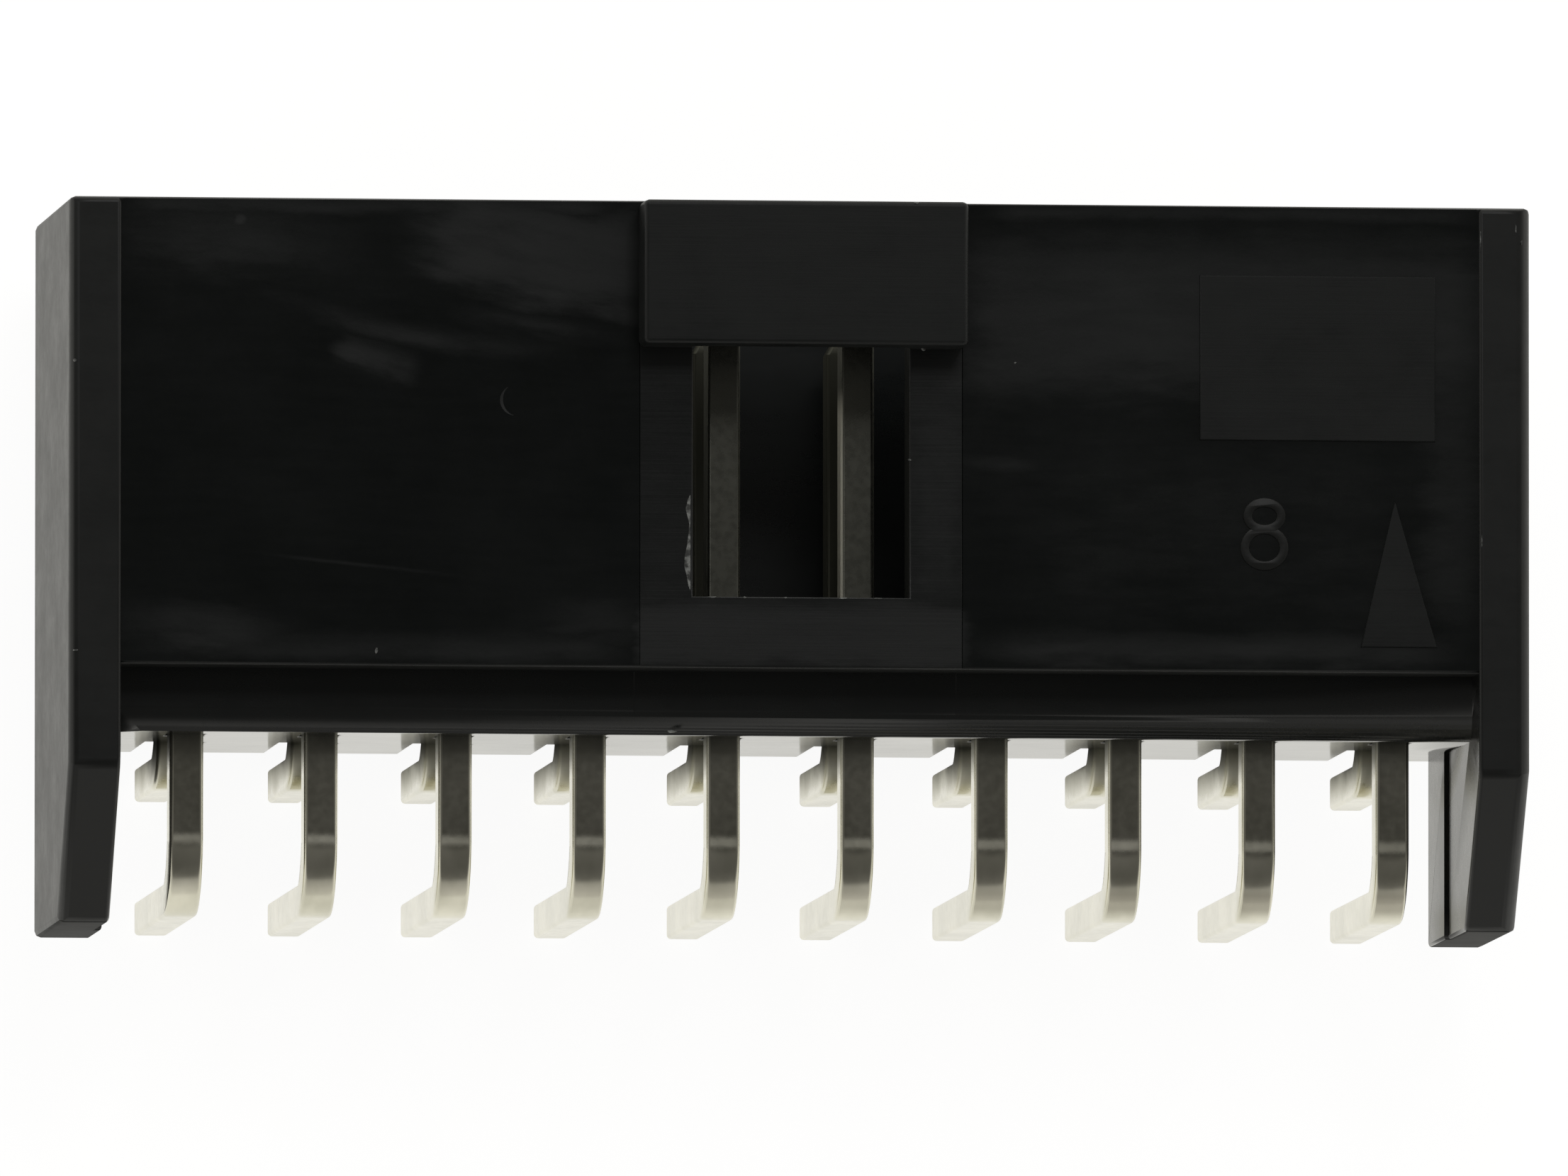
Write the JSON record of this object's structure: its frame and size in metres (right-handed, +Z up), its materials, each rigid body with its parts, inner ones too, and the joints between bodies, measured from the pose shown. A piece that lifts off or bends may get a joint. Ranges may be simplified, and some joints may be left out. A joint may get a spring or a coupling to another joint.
{
  "type": "box header",
  "caption": "Right-angle shrouded box header for a circuit board, with a raised latch bar over a window, rear side cheeks and rows of bent square contacts.",
  "frame": {"origin": "centre of the shroud's underside, in the board plane, 5.0 mm behind the mouth", "axes": "+Z up from the board, +Y out of the mouth towards the mating plug, +X along the rows towards the triangle mark; the contacts' tails reach below the board plane"},
  "size_m": [0.0276, 0.0135, 0.0103],
  "materials": {
    "housing_plastic": "black glass-filled thermoplastic, satin as moulded",
    "contact_metal": "copper alloy wire, bright tin plated"
  },
  "bodies": {
    "root": {"housing": "housing_plastic", "contact_upper_01": "contact_metal", "contact_upper_02": "contact_metal", "contact_upper_03": "contact_metal", "contact_upper_04": "contact_metal", "contact_upper_05": "contact_metal", "contact_upper_06": "contact_metal", "contact_upper_07": "contact_metal", "contact_upper_08": "contact_metal", "contact_upper_09": "contact_metal", "contact_upper_10": "contact_metal", "contact_lower_01": "contact_metal", "contact_lower_02": "contact_metal", "contact_lower_03": "contact_metal", "contact_lower_04": "contact_metal", "contact_lower_05": "contact_metal", "contact_lower_06": "contact_metal", "contact_lower_07": "contact_metal", "contact_lower_08": "contact_metal", "contact_lower_09": "contact_metal", "contact_lower_10": "contact_metal"}
  },
  "joints": []
}
